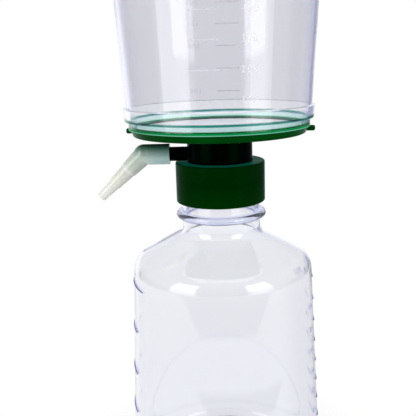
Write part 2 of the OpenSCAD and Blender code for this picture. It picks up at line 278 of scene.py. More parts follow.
def bottle_profile():
    """The bottle from the middle of its foot up its outside, over the rim and down its inside."""
    foot, shoulder = bottle_skin(0)
    marks = [p for ml in MARKS_ML for p in mark_rows(bottle_mark_z(ml), BOTTLE_MARK_H, side_r)]
    inner_foot, inner_shoulder = bottle_skin(BOTTLE_WALL)
    bore_r, up = NECK_R - BOTTLE_WALL, math.pi / 2
    rim = (arc((NECK_R - RIM_ROUND, BOTTLE_H - RIM_ROUND), RIM_ROUND, 0, up, 6)
           + arc((bore_r + RIM_ROUND, BOTTLE_H - RIM_ROUND), RIM_ROUND, up, 2 * up, 6))
    outside = foot + marks + shoulder + neck_rows() + rim
    return outside + list(reversed(inner_foot + inner_shoulder))


def cup_foot():
    """The tongue on the membrane, the foot ring that is fused to the base, and the flange over it."""
    up, e = math.pi / 2, FLANGE_ROUND
    ring = [(LEDGE_IN_R, TONGUE_Z), (TONGUE_R, TONGUE_Z), (TONGUE_R, BASE_TOP_Z - WELD),
            (RIM_R - WELD, BASE_TOP_Z - WELD), (RIM_R, BASE_TOP_Z + WELD),
            (RIM_R, FLANGE_Z - FOOT_CHAMFER), (RIM_R + FOOT_CHAMFER, FLANGE_Z)]
    foot_r = FLANGE_R - math.tan(CUP_TAPER) * FLANGE_H
    root_r = wall_r(FLANGE_TOP_Z) + e
    return (ring + arc((foot_r - e, FLANGE_Z + e), e, -up, 0, 8)
            + arc((FLANGE_R - e, FLANGE_TOP_Z - e), e, 0, up, 8)
            + arc((root_r, FLANGE_TOP_Z + e), e, 3 * up, 2 * up, 8))


def cup_brim():
    """The rolled brim, up its outside, over its top and in to the wall's inner side."""
    brim_z, top_r = CUP_TOP_Z - BRIM_H, wall_r(CUP_TOP_Z) - CUP_WALL
    brim_r = wall_r(brim_z) + BRIM_PROUD
    return ([(wall_r(brim_z), brim_z), (brim_r, brim_z + BRIM_PROUD)]
            + arc((brim_r - BRIM_ROUND, CUP_TOP_Z - BRIM_ROUND), BRIM_ROUND, 0, math.pi / 2, 5)
            + [(top_r + BRIM_ROUND, CUP_TOP_Z), (top_r, CUP_TOP_Z - BRIM_ROUND)])


def cup_profile():
    """The cup from its tongue on the membrane, out over the foot ring, up, over and down inside."""
    marks = [p for ml in MARKS_ML for p in mark_rows(cup_mark_z(ml), CUP_MARK_H, wall_r)]
    in_foot_z = BASE_TOP_Z + CUP_FLOOR_R
    floor_r = wall_r(in_foot_z) - CUP_WALL - CUP_FLOOR_R
    inside = arc((floor_r, in_foot_z), CUP_FLOOR_R, 0, -math.pi / 2, 12)
    return cup_foot() + marks + cup_brim() + inside


WELDED, EDGE = 2, 3                         # places of the cup's third and fourth materials


def cup_finish(r, z):
    """The special material at a point of the cup's outline, or 0."""
    if abs(z - TONGUE_Z) < NEAR or abs(r - TONGUE_R) < NEAR or abs(z - BASE_TOP_Z + WELD) < NEAR:
        return WELDED
    return EDGE if abs(z - FLANGE_TOP_Z) < FLANGE_ROUND + NEAR else 0


def lid_profile():
    """The lid from the middle of its underside, round its ring and skirt to the middle of its top."""
    brim_r = wall_r(CUP_TOP_Z - BRIM_H) + BRIM_PROUD
    skirt_in = brim_r + LOOSE_GAP
    skirt_r = skirt_in + LID_T
    ring_r = wall_r(CUP_TOP_Z - LID_RING_H) - CUP_WALL - LOOSE_GAP
    top, e, rise, up = CUP_TOP_Z + LID_T, LID_T / 2, LID_PANEL_RISE, math.pi / 2
    under = CUP_TOP_Z + LID_SEAT_GAP
    return ([(0, under + rise), (LID_PANEL_R, under + rise), (LID_PANEL_R + rise, under),
             (ring_r - LID_T, under), (ring_r - LID_T, CUP_TOP_Z - LID_RING_H),
             (ring_r, CUP_TOP_Z - LID_RING_H), (ring_r, under), (skirt_in, under),
             (skirt_in, CUP_TOP_Z - LID_SKIRT_H), (skirt_r, CUP_TOP_Z - LID_SKIRT_H)]
            + arc((skirt_r - e, top - e), e, 0, up, 8)
            + [(LID_PANEL_R + 2 * rise, top), (LID_PANEL_R + rise, top + rise), (0, top + rise)])


# ---------------------------------------------------------------- meshes

def finish_mesh(name, bm, body, slot, *materials):
    """Turns a bmesh in millimetres into a smooth-shaded piece that rides on a body."""
    bmesh.ops.scale(bm, vec=(MM, MM, MM), verts=bm.verts)
    mesh = bpy.data.meshes.new(name)
    bm.to_mesh(mesh)
    bm.free()
    mesh.shade_smooth()
    mesh.set_sharp_from_angle(angle=math.radians(SHARP_ANGLE))
    obj = bpy.data.objects.new(name, mesh)
    bpy.context.scene.collection.objects.link(obj)
    for material in materials:
        mesh.materials.append(material)
    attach(obj, body)
    return obj


def columns(count, edges=()):
    """Azimuths of a turned mesh in degrees: an even grid, with extra ones at the edges of marks."""
    even = [360 * i / count for i in range(count)]
    kept = [a for a in even if all(abs((a - e + 180) % 360 - 180) > COLUMN_GAP for e in edges)]
    return sorted(kept + [e % 360 for e in edges])


def held(profile, closed):
    """The outline with extra points close to the ends of its long flats, so that they shade flat."""
    points = []
    for a, b in zip(profile, profile[1:] + profile[:1]):
        points.append(a)
        length = math.dist(a, b)
        if length > HELD_LENGTH and (closed or a is not profile[-1]):
            for t in (HOLD / length, 1 - HOLD / length):
                points.append((a[0] + (b[0] - a[0]) * t, a[1] + (b[1] - a[1]) * t))
    return points


def ring(bm, r, z, azimuths, lift):
    """The points of one ring of a turned mesh, or one on the axis, and those of them on a mark."""
    if r < 1e-6:
        return [bm.verts.new((0, 0, z))], []
    verts, raised = [], []
    on_thread = abs(r - NECK_R) < NEAR
    for a in azimuths:
        out = r + (lift(r, z, a) if lift else 0)
        t = math.radians(a)
        verts.append(bm.verts.new((out * math.cos(t), out * math.sin(t), z)))
        if out > r + RAISED and not on_thread:
            raised.append(verts[-1])
    return verts, raised


def band(bm, low, high, n):
    """Adds and gives the faces between two rings, either of which may be a single point."""
    for j in range(n):
        k = (j + 1) % n
        corners = [low[j % len(low)], low[k % len(low)], high[k % len(high)], high[j % len(high)]]
        unique = [v for i, v in enumerate(corners) if v not in corners[:i]]
        if len(unique) > 2:
            yield bm.faces.new(unique)


def turned(profile, azimuths, lift=None, closed=False, finish=None):
    """Turns an outline of (radius, height) about Z. lift(r, z, azimuth) is added to the radius.

    The faces of a raised mark get the second material. Faces between two points of the outline with
    the same finish(r, z), other than 0, get the material of that number.
    """
    bm = bmesh.new()
    rings, raised = [], set()
    profile = held(profile, closed)
    for r, z in profile:
        verts, on_mark = ring(bm, r, z, azimuths, lift)
        rings.append(verts)
        raised.update(on_mark)
    finishes = [finish(r, z) if finish else 0 for r, z in profile]
    if closed:
        rings.append(rings[0])
        finishes.append(finishes[0])
    for low, high, inner, outer in zip(rings, rings[1:], finishes, finishes[1:]):
        special = inner if inner == outer else 0
        for face in band(bm, low, high, len(azimuths)):
            face.material_index = special or int(any(v in raised for v in face.verts))
    return bm


def ramp_up(x, width):
    """0 below 0, 1 above width, straight in between."""
    return min(max(x / width, 0), 1)


def span_weight(azimuth, middle, span):
    """1 inside a span of azimuths, falling to 0 over the last fraction of a degree."""
    away = abs((azimuth - middle + 180) % 360 - 180)
    return ramp_up(span / 2 - away, MARK_FADE)


def mark_edges(scales):
    """Azimuths at which the marks of some scales begin and end."""
    return [c + s * (w / 2 - d) for c, w in scales for s in (-1, 1) for d in (0, MARK_FADE)]


def thread_lift(z, azimuth):
    """Height of the neck's helical ridge, from 0 to 1, at a point of the neck."""
    turn = azimuth / 360
    s = turn + round((z - THREAD_FOOT_Z) / THREAD_PITCH - turn)
    if not 0 <= s <= THREAD_TURNS:
        return 0
    away = abs(z - THREAD_FOOT_Z - THREAD_PITCH * s)
    ends = ramp_up(s, THREAD_RUNOUT) * ramp_up(THREAD_TURNS - s, THREAD_RUNOUT)
    return ramp_up(THREAD_W / 2 - away, THREAD_FLANK) * ends


def bottle_lift(r, z, azimuth):
    """Raised marks and thread on the bottle's outside."""
    if abs(r - NECK_R) < NEAR:
        return THREAD_PROUD * thread_lift(z, azimuth)
    for middle, span, volumes in BOTTLE_SCALES:
        on_mark = any(abs(z - bottle_mark_z(ml)) < BOTTLE_MARK_H / 4 for ml in volumes)
        weight = span_weight(azimuth, middle, span)
        if on_mark and weight and abs(r - side_r(z)) < NEAR:
            return BOTTLE_MARK_PROUD * weight
    return 0


def bottle(material, mark_material):
    cols = columns(240, mark_edges([(middle, span) for middle, span, _ in BOTTLE_SCALES]))
    bm = turned(bottle_profile(), cols, bottle_lift)
    obj = finish_mesh("bottle_shell", bm, "bottle", "clear_plastic", material, mark_material)
    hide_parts("bottle")


def cup_lift(r, z, azimuth):
    """Raised marks on the cup's outside."""
    for ml in MARKS_ML:
        if abs(z - cup_mark_z(ml)) < CUP_MARK_H / 4 and abs(r - wall_r(z)) < NEAR:
            return CUP_MARK_PROUD * max(span_weight(azimuth, *scale) for scale in CUP_SCALES)
    return 0


def cup(*materials):
    cols = columns(288, mark_edges(CUP_SCALES))
    bm = turned(cup_profile(), cols, cup_lift, closed=True, finish=cup_finish)
    obj = finish_mesh("cup_shell", bm, "filter_unit", "clear_plastic", *materials)
    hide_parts("funnel")


def lid(material):
    bm = turned(lid_profile(), columns(240))
    obj = finish_mesh("lid_shell", bm, "filter_unit", "clear_plastic", material)
    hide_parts("lid")


def collar_thread(material):
    """The collar's own helical ridge, half a pitch from the bottle's, standing in from its bore."""
    steps, bm = 260, bmesh.new()
    half, wall, rings = THREAD_W / 2, COLLAR_BORE_R + 0.2, []
    for i in range(steps + 1):
        s = THREAD_TURNS * i / steps
        t = 2 * math.pi * s
        ends = min(ramp_up(s, COLLAR_THREAD_RUNOUT), ramp_up(THREAD_TURNS - s, COLLAR_THREAD_RUNOUT))
        crest = COLLAR_BORE_R - THREAD_PROUD * ends
        z = THREAD_FOOT_Z + THREAD_PITCH * (s + 0.5) - COLLAR_THREAD_DROP
        section = [(wall, -half), (wall, half), (COLLAR_BORE_R, half), (crest, half * 0.4),
                   (crest, -half * 0.4), (COLLAR_BORE_R, -half)]
        rings.append([bm.verts.new((r * math.cos(t), r * math.sin(t), z + d)) for r, d in section])
    for low, high in zip(rings, rings[1:]):
        for j in range(len(low)):
            k = (j + 1) % len(low)
            bm.faces.new((low[j], high[j], high[k], low[k]))
    bm.faces.new(rings[0])
    bm.faces.new(list(reversed(rings[-1])))
    bmesh.ops.recalc_face_normals(bm, faces=bm.faces)
    finish_mesh("collar_thread", bm, "collar", "green_plastic", material)


def flat_text(name, text, height, thick, spacing):
    """A mesh of raised text that lies flat with its middle at the origin, in millimetres."""
    curve = bpy.data.curves.new(name, "FONT")
    curve.body = text
    curve.align_x = "CENTER"
    curve.align_y = "CENTER"
    curve.size = height * FONT_SIZE
    curve.space_character = spacing
    curve.extrude = thick / 2
    curve.resolution_u = 3
    maker = bpy.data.objects.new(name, curve)
    mesh = bpy.data.meshes.new_from_object(maker)
    bpy.data.objects.remove(maker)
    return mesh


def number(name, ml, azimuth, z, r_at, shape, body, material):
    """A raised number on a turned wall, reading from outside, its middle at azimuth and height z."""
    mesh = flat_text(name, str(ml), **shape)
    for v in mesh.vertices:
        x, y, out = v.co
        r = r_at(z + y) + out + shape["thick"] / 2 - NUMBER_SUNK
        t = math.radians(azimuth) + x / r
        v.co = (r * math.cos(t) * MM, r * math.sin(t) * MM, (z + y) * MM)
    obj = bpy.data.objects.new(name, mesh)
    bpy.context.scene.collection.objects.link(obj)
    mesh.materials.clear()
    mesh.materials.append(material)
    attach(obj, body)


def numbers(cup_materials, bottle_material):
    """The numbers of the cup's two scales, and of the bottle's right one."""
    for ml in MARKS_ML:
        for side, azimuth in CUP_NUMBER_AZIMUTHS.items():
            number(f"cup_number_{side}_{ml}", ml, azimuth, cup_mark_z(ml), wall_r, CUP_NUMBER,
                   "filter_unit", cup_materials[side])
        azimuth, z = BOTTLE_NUMBER_AZIMUTH, bottle_mark_z(ml)
        if ml == 1000:
            azimuth, z = TOP_NUMBER_AZIMUTH, LINES["shoulder"][1] + TOP_NUMBER_RISE
        number(f"bottle_number_right_{ml}", ml, azimuth, z, bottle_r, BOTTLE_NUMBER, "bottle",
               bottle_material)


# ---------------------------------------------------------------- nodes

class Nodes:
    """Short ways to add nodes to a tree."""

    def __init__(self, tree):
        self.tree = tree

    def add(self, kind, **settings):
        node = self.tree.nodes.new(kind)
        for key, value in settings.items():
            setattr(node, key, value)
        return node

    def set(self, socket, value):
        """Sets a plain value on a socket, or links an output to it."""
        if isinstance(value, (int, float, tuple)):
            socket.default_value = value
        else:
            self.tree.links.new(value, socket)

    def maths(self, operation, *values):
        node = self.add("ShaderNodeMath", operation=operation)
        for socket, value in zip(node.inputs, values):
            self.set(socket, value)
        return node.outputs[0]

    def vector(self, operation, output, *values):
        node = self.add("ShaderNodeVectorMath", operation=operation)
        for socket, value in zip(node.inputs, values):
            self.set(socket, value)
        return node.outputs[output]

    def spread(self, value, start, end, low=0.0, high=1.0, smooth=False):
        """Maps a value from start to end onto low to high, and holds it there."""
        node = self.add("ShaderNodeMapRange", interpolation_type="SMOOTHSTEP" if smooth else "LINEAR")
        for name, setting in zip(("Value", "From Min", "From Max", "To Min", "To Max"),
                                 (value, start, end, low, high)):
            self.set(node.inputs[name], setting)
        return node.outputs["Result"]

    def mix(self, factor, a, b, blend="MIX"):
        node = self.add("ShaderNodeMix", data_type="RGBA", blend_type=blend)
        self.set(node.inputs["Factor"], factor)
        self.set(node.inputs["A"], a)
        self.set(node.inputs["B"], b)
        return node.outputs["Result"]

    def ramp(self, factor, stops):
        """A colour from stops of (place from 0 to 1, colour)."""
        node = self.add("ShaderNodeValToRGB")
        elements = node.color_ramp.elements
        while len(elements) < len(stops):
            elements.new(0.5)
        for element, (place, colour) in zip(elements, stops):
            element.position = place
            element.color = (*colour, 1)
        self.set(node.inputs["Fac"], factor)
        return node.outputs["Color"]


class Paint(Nodes):
    """A node material round one Principled shader, with short ways to add its textures."""

    def __init__(self, name, colour, roughness, **sockets):
        self.material = bpy.data.materials.new(name)
        self.material.use_nodes = True
        super().__init__(self.material.node_tree)
        self.shader = self.tree.nodes["Principled BSDF"].inputs
        self.shader["Base Color"].default_value = (*colour, 1)
        self.shader["Roughness"].default_value = roughness
        for socket, value in sockets.items():
            self.shader[socket.replace("_", " ")].default_value = value
        self.coords = self.add("ShaderNodeTexCoord").outputs["Object"]

    def noise(self, scale, detail=3, stretch=(1, 1, 1)):
        mapping = self.add("ShaderNodeMapping")
        mapping.inputs["Scale"].default_value = stretch
        self.set(mapping.inputs["Vector"], self.coords)
        node = self.add("ShaderNodeTexNoise")
        node.inputs["Scale"].default_value = scale
        node.inputs["Detail"].default_value = detail
        self.set(node.inputs["Vector"], mapping.outputs["Vector"])
        return node.outputs["Fac"]

    def uneven(self, noise, low, high):
        """Spreads the usual values of a noise over low to high."""
        return self.spread(noise, 0.3, 0.7, low, high)

    def axis(self, letter):
        node = self.add("ShaderNodeSeparateXYZ")
        self.set(node.inputs["Vector"], self.coords)
        return node.outputs[letter]

    def radius(self):
        """Distance from the vertical axis, in metres."""
        flat = self.vector("MULTIPLY", "Vector", self.coords, (1, 1, 0))
        return self.vector("LENGTH", "Value", flat)

    def by_height(self, stops):
        """A colour that follows the height in the model, from stops of (height in mm, colour)."""
        low, high = stops[0][0], stops[-1][0]
        place = self.spread(self.axis("Z"), low * MM, high * MM)
        return self.ramp(place, [((z - low) / (high - low), colour) for z, colour in stops])

    def colour(self, source):
        self.set(self.shader["Base Color"], source)

    def roughness(self, noise, low, high):
        self.set(self.shader["Roughness"], self.uneven(noise, low, high))

    def bump(self, *layers, bevel=None):
        """Layers of (height, depth in mm), one over the other, on a rounded edge if bevel is set."""
        normal = None
        if bevel:
            edge = self.add("ShaderNodeBevel", samples=6)
            edge.inputs["Radius"].default_value = bevel * MM
            normal = edge.outputs["Normal"]
        for height, depth in layers:
            node = self.add("ShaderNodeBump")
            node.inputs["Distance"].default_value = depth * MM
            self.set(node.inputs["Height"], height)
            if normal:
                self.set(node.inputs["Normal"], normal)
            normal = node.outputs["Normal"]
        self.set(self.shader["Normal"], normal)


# ---------------------------------------------------------------- materials

CUP_CLEAR = (0.852, 0.850, 0.884)
FOOT_PAINTED_GREEN = (0.10, 0.60, 0.36)             # painted refraction: the green base beside the cup's clear foot, as seen through it
# painted refraction: the pale teal of the clear foot ring over the green base
FOOT_PAINTED_PALE = (0.66, 0.88, 0.85)
EDGE_PAINTED_TEAL = (0.0, 0.10, 0.06)               # painted refraction: the base's green as seen at the flange's lower edge
FLANGE_CLEAR = (0.96, 0.97, 0.985)
BOTTLE_CLEAR = (0.91, 0.912, 0.936)
BODY_BLUE = (0.898, 0.904, 0.936)           # the lower part of the bottle
SHOULDER_PALE = (0.93, 0.937, 0.958)
# painted violet in the ring bead, standing in for the lines that its refraction shows
BEAD_PAINTED_VIOLET = (0.74, 0.77, 0.93)
# shares of the light that go through the plastic, as colours for by_height; the bead's lower share is a
# painted haze
ALL_THROUGH, BEAD_PAINTED_HAZE = (1.0,) * 3, (0.92,) * 3
BLUE_BELOW, CLEAR_AT, PALE_ABOVE = 70, 30, 20       # mm below the neck's root
BEAD_MARGIN, BEAD_FADE = 0.6, 0.5           # mm that the haze reaches past the bead, and fades in

LEG_ANGLE = math.radians(43)                # of the adaptor's leg, below level
BEND_X = 41.6                               # mm from the bottle's axis to the adaptor's bend
LEG_STEPS = (12.2, 23.2)                    # mm from the bend to the leg's two steps
LEG_TIP = 12                                # mm from the second step to the leg's end


def clear_plastic(name, colour):
    """Clear moulded polystyrene: faint tint, slightly uneven gloss and the waves of the mould."""
    paint = Paint(name, colour, 0.03, IOR=1.57, Transmission_Weight=1.0)
    paint.roughness(paint.noise(60, 4), 0.01, 0.05)
    paint.bump((paint.noise(35, 2, (1, 1, 0.35)), 0.12), (paint.noise(900, 2), 0.0015))
    return paint


def bottle_plastic(name):
    """Clear plastic, bluer low in the bottle, and less clear in the ring bead, with a painted violet
    haze in place of its refracted lines.
    """
    paint = clear_plastic(name, BOTTLE_CLEAR)
    low, high = BEAD_Z - BEAD_H / 2 - BEAD_MARGIN, BEAD_Z + BEAD_H / 2 + BEAD_MARGIN
    root_z = BOTTLE_H - NECK_H
    tint = [(root_z - BLUE_BELOW, BODY_BLUE), (root_z - CLEAR_AT, BOTTLE_CLEAR),
            (root_z - PALE_ABOVE, SHOULDER_PALE), (low, SHOULDER_PALE), (low + BEAD_FADE, BEAD_PAINTED_VIOLET),
            (high - BEAD_FADE, BEAD_PAINTED_VIOLET), (high, BOTTLE_CLEAR)]
    through = [(low, ALL_THROUGH), (low + BEAD_FADE, BEAD_PAINTED_HAZE), (high - BEAD_FADE, BEAD_PAINTED_HAZE),
               (high, ALL_THROUGH)]
    paint.colour(paint.by_height(tint))
    paint.set(paint.shader["Transmission Weight"], paint.by_height(through))
    return paint.material


def cup_plastic(name):
    """Clear plastic with painted refraction: the green of the base is painted into its foot and into the
    flange's lower edge.
    """
    paint = clear_plastic(name, CUP_CLEAR)
    low, top, edge = BASE_TOP_Z - 1.5, FLANGE_TOP_Z, FLANGE_Z
    # painted refraction of the green base, by height, in the foot and at the flange's lower edge
    foot = [(low, FOOT_PAINTED_GREEN), (low + 1.6, FOOT_PAINTED_GREEN), (low + 2.6, FOOT_PAINTED_PALE)]
    wall = [(top, FLANGE_CLEAR), (top + 0.6, CUP_CLEAR)]
    within = foot + [(edge - 0.3, FOOT_PAINTED_PALE), (edge + 0.3, FLANGE_CLEAR)] + wall
    around = foot + [(edge - 0.4, FOOT_PAINTED_PALE), (edge - 0.1, EDGE_PAINTED_TEAL), (edge + 1.0, EDGE_PAINTED_TEAL),
                     (edge + 1.5, FLANGE_CLEAR)] + wall
    outside = paint.spread(paint.radius(), (RIM_R - 0.6) * MM, (RIM_R - 0.4) * MM)
    paint.colour(paint.mix(outside, paint.by_height(within), paint.by_height(around)))
    return paint.material


def fused_green(name):
    """The base's green as seen through the clear foot that is fused to it, painted by height: painted
    shade low down by the membrane, and painted light where the lit rim shows at the top.
    """
    paint = Paint(name, (0.0, 0.7, 0.3), 0.5, Specular_IOR_Level=0.0)
    middle = (TONGUE_Z + BASE_TOP_Z) / 2
    # painted shade by the membrane, rising to the painted bright green of the lit rim
    paint.colour(paint.by_height([(TONGUE_Z, (0.0, 0.03, 0.004)), (TONGUE_Z + 0.3, (0.0, 0.04, 0.006)),
                                  (middle, (0.0, 0.60, 0.24)), (BASE_TOP_Z, (0.0, 0.76, 0.33))]))
    paint.roughness(paint.noise(120, 3), 0.4, 0.6)
    return paint.material


def veil(name, colour, share):
    """A thin pale haze that the rest of the light goes through, for numbers and the flange's edge."""
    paint = Paint(name, colour, 0.6, Specular_IOR_Level=0.1, Alpha=share)
    paint.roughness(paint.noise(900, 3), 0.5, 0.7)
    return paint.material


def frosted(name, colour, roughness, clear):
    """The matt top of a moulded mark: partly clear, partly white or tinted."""
    paint = Paint(name, colour, roughness, IOR=1.5, Transmission_Weight=clear)
    paint.roughness(paint.noise(900, 3), roughness - 0.1, roughness + 0.1)
    paint.bump((paint.noise(1200, 3), 0.01))
    return paint.material


def green_plastic(name, stops, gloss, sheen):
    """Dark green moulded plastic with soft flow marks and a fine skin.

    Stops of colour follow the height in the model, in mm, and gloss gives the range of roughness.
    """
    paint = Paint(name, stops[0][1], 0.2, IOR=1.08, Specular_IOR_Level=0.5,
                  Specular_Tint=(0.01, 0.8, 0.22, 1), Sheen_Weight=sheen, Sheen_Roughness=0.22,
                  Sheen_Tint=(0.0, 0.62, 0.42, 1))
    clouded = paint.add("ShaderNodeVectorMath", operation="SCALE")
    paint.set(clouded.inputs[0], paint.by_height(stops))
    paint.set(clouded.inputs["Scale"], paint.uneven(paint.noise(45, 4, (1, 1, 0.5)), 0.8, 1.2))
    paint.colour(clouded.outputs["Vector"])
    paint.roughness(paint.noise(160, 3), *gloss)
    paint.bump((paint.noise(70, 2), 0.03), (paint.noise(2600, 2), 0.002), bevel=0.3)
    return paint.material


def base_stops():
    """Colour by height: near black on the neck as painted shade under the base, green on the band, a
    painted highlight line at the rim's lower edge, and the thin rim painted brighter as lit.
    """
    top = BASE_TOP_Z
    # painted shade on the neck, under the overhanging base
    return [(top - 36, (0.0, 0.001, 0.0002)), (top - 5.6, (0.0, 0.001, 0.0002)),
            (top - 5.0, (0.0, 0.040, 0.002)), (top - 1.4, (0.0, 0.058, 0.005)),
            # a painted highlight along the rim's lower edge, then the rim painted brighter
            (top - 1.3, (0.18, 0.52, 0.38)), (top - 0.95, (0.18, 0.52, 0.38)),
            (top - 0.8, (0.0, 0.24, 0.055)), (top + 0.2, (0.0, 0.27, 0.07))]


def collar_stops():
    """Colour by height: a little darker half way up."""
    foot = COLLAR_FOOT_Z
    return [(foot, (0.0, 0.024, 0.0003)), (foot + 12, (0.0, 0.016, 0.0003)),
            (foot + 22, (0.0, 0.020, 0.0004))]


def socket_tone(paint):
    """The adaptor's socket, with painted shade: darker over the side arm's end, as if the dark arm
    showed through, and darker towards its top, under the base.
    """
    arm_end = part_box("port_plug")[0].x - 0.003
    # painted: the dark arm as if seen through the socket
    place = paint.spread(paint.axis("X"), arm_end - 0.006, arm_end + 0.008)
    along = paint.ramp(place, [(0.0, (0.66, 0.74, 0.66)), (0.35, (0.58, 0.68, 0.61)),
                               (0.55, (0.50, 0.64, 0.60)), (1.0, (0.42, 0.60, 0.58))])
    # painted shade: darker towards the socket's top, under the base
    shade_from_base = paint.by_height([(ARM_Z - 5.5, (1.0, 1.0, 1.0)), (ARM_Z - 1, (0.72, 0.78, 0.77)),
                                (ARM_Z + 2, (0.40, 0.50, 0.46)), (ARM_Z + 4, (0.12, 0.24, 0.19)),
                                (ARM_Z + 5.5, (0.01, 0.06, 0.03))])
    return paint.mix(1.0, along, shade_from_base, "MULTIPLY")


def leg_tone(paint, along, start):
    """The adaptor's leg, with a painted highlight as a bright line at each step. along is the distance
    down the leg.
    """
    first, second = LEG_STEPS
    length = second + LEG_TIP
    # the bright lines at the two steps are painted highlights
    stops = [(0, (0.46, 0.55, 0.46)), (first - 3, (0.56, 0.61, 0.52)), (first - 0.5, (0.66, 0.69, 0.61)),
             (first - 0.2, (0.80, 0.81, 0.76)), (first + 0.3, (0.80, 0.81, 0.76)),
             (first + 0.7, (0.68, 0.69, 0.59)), (second - 0.5, (0.75, 0.76, 0.66)),
             (second + 0.1, (0.82, 0.82, 0.76)), (second + 0.7, (0.76, 0.76, 0.69)),
             (length, (0.82, 0.82, 0.77))]
    place = paint.spread(along, start, start + length * MM)
    return paint.ramp(place, [(at / length, colour) for at, colour in stops])


def milky_plastic(name):
    """Translucent white plastic; the socket is pushed over the dark side arm, and its colour carries
    painted shade over the arm and towards its top.
    """
    paint = Paint(name, (0.82, 0.82, 0.78), 0.3, IOR=1.5, Coat_Weight=0.1)
    down_leg = (-math.cos(LEG_ANGLE), 0, -math.sin(LEG_ANGLE))
    along = paint.vector("DOT_PRODUCT", "Value", paint.coords, down_leg)
    start = (BEND_X * math.cos(LEG_ANGLE) - ARM_Z * math.sin(LEG_ANGLE)) * MM
    on_leg = paint.spread(along, start + 0.001, start + 0.004)
    paint.colour(paint.mix(on_leg, socket_tone(paint), leg_tone(paint, along, start)))
    paint.roughness(paint.noise(220, 3), 0.16, 0.3)
    paint.bump((paint.noise(120, 3), 0.02), (paint.noise(1800, 2), 0.002))
    return paint.material


def membrane_film(name):
    """White microporous film: matt, with a fine mottled skin."""
    paint = Paint(name, (0.93, 0.93, 0.93), 0.85, Specular_IOR_Level=0.25)
    grain = paint.noise(1500, 5)
    paint.colour(paint.ramp(paint.noise(90, 4), [(0.3, (0.90, 0.905, 0.91)), (0.7, (0.95, 0.95, 0.95))]))
    paint.roughness(grain, 0.75, 0.95)
    paint.bump((grain, 0.02))
    return paint.material


def silicone(name):
    """Milky silicone of the gasket."""
    paint = Paint(name, (0.78, 0.78, 0.75), 0.5, Subsurface_Weight=0.3, Subsurface_Scale=0.003)
    paint.colour(paint.ramp(paint.noise(150, 3), [(0.3, (0.72, 0.72, 0.69)), (0.7, (0.80, 0.80, 0.78))]))
    paint.roughness(paint.noise(400, 2), 0.4, 0.6)
    paint.bump((paint.noise(900, 3), 0.01), bevel=0.2)
    return paint.material


def cotton(name):
    """Pressed cotton: fibres that lie every way, with soft hollows between them."""
    paint = Paint(name, (0.92, 0.91, 0.87), 0.95, Sheen_Weight=0.4, Sheen_Roughness=0.5)
    fibres = paint.noise(1400, 6, (0.25, 1, 1))
    tufts = paint.noise(500, 4)
    paint.colour(paint.ramp(fibres, [(0.3, (0.82, 0.80, 0.75)), (0.65, (0.95, 0.94, 0.91))]))
    paint.roughness(tufts, 0.85, 1.0)
    paint.bump((tufts, 0.25), (fibres, 0.08))
    return paint.material


def dress(node, material):
    """Gives a carried-over CAD node its material."""
    for slot in frame["nodes"][node].material_slots:
        slot.material = material


# ---------------------------------------------------------------- studio

# what glossy surfaces mirror, by azimuth from the front in degrees, right of it positive
STUDIO = [(-180, 1.0), (-138, 1.0), (-128, 0.40), (-75, 0.36), (-66, 1.2), (-37, 1.2), (-31, 0.10),
          (29, 0.10), (33, 1.2), (54, 1.2), (62, 0.55), (86, 0.50), (92, 0.20), (150, 0.20), (162, 1.0),
          (180, 1.0)]
# patches of it: azimuth of the middle, then (elevation, half width) of the top and of the foot
WINDOWS = [(-51, (40, 15), (6, 15)), (46, (40, 15), (6, 15))]
FAR_THINGS = (5, (-15.6, 64), (-20.8, 33))
FAR_STRIP = (-12, (-15.6, 46), (-17.4, 42))
NEAR_THINGS = (20, (-25.2, 56), (-28.0, 36))

WHITE = (1.0, 1.0, 1.0, 1)
ROOF = (0.62, 0.63, 0.66, 1)
WINDOW = (3.4, 3.4, 3.45, 1)                # the two bright windows, high on the left and the right
FLOOR_IN_FRONT = (1.25, 1.26, 1.28, 1)      # the floor, as the gloss mirrors it
FLOOR_BEHIND = (0.92, 0.93, 0.97, 1)
FLOOR_ON_RIGHT = (0.45, 0.45, 0.54, 1)
GREY_THINGS = (0.10, 0.10, 0.15, 1)         # what stands on it in front of the object
DIMMEST_INSIDE = (0.28, 0.29, 0.44, 1)      # the least that clear plastic mirrors on its inner side
PLAIN_LIGHT = (0.62, 0.63, 0.65, 1)         # on open surfaces
LIGHT_INSIDE = (1.85, 1.87, 1.92, 1)        # on surfaces that are lit through the clear plastic
INNER_GLOW = (1.2, 1.25, 1.65, 1)           # at the end of several reflections inside the plastic
LIFTED_TO_DIMMEST = 0.85                    # how far the gloss inside is lifted to the dimmest

FLOOR_R = 0.6                               # metres
FLOOR_DROP = 0.0002                         # metres below the object's foot
SHADOW_REACH = (0.062, 0.105)               # metres from the middle, over which the shadow runs out
SHADOW_WHITE = 0.72                         # share of plain white in the paper under the object
PAPER_TONES = (0.84, 0.84, 0.845, 1), (0.87, 0.87, 0.87, 1)

LENS = 51.8                                 # mm; the camera's place in metres, its turns in degrees
CAMERA_PLACE = (0, -0.3255, 0.2435)
CAMERA_DOWN, CAMERA_LEFT, CAMERA_ROLL = 13.64, 1.291, 1.678


def sine(degrees):
    return math.sin(math.radians(degrees))


def direct_sight(nodes):
    """1 for what the camera sees straight or through clear plastic, with no reflection on the way."""
    path = nodes.add("ShaderNodeLightPath").outputs
    seen = nodes.maths("MAXIMUM", path["Is Camera Ray"], path["Is Transmission Ray"])
    bounced = nodes.maths("ADD", path["Diffuse Depth"], path["Glossy Depth"])
    return nodes.maths("MULTIPLY", seen, nodes.maths("LESS_THAN", bounced, 0.5))


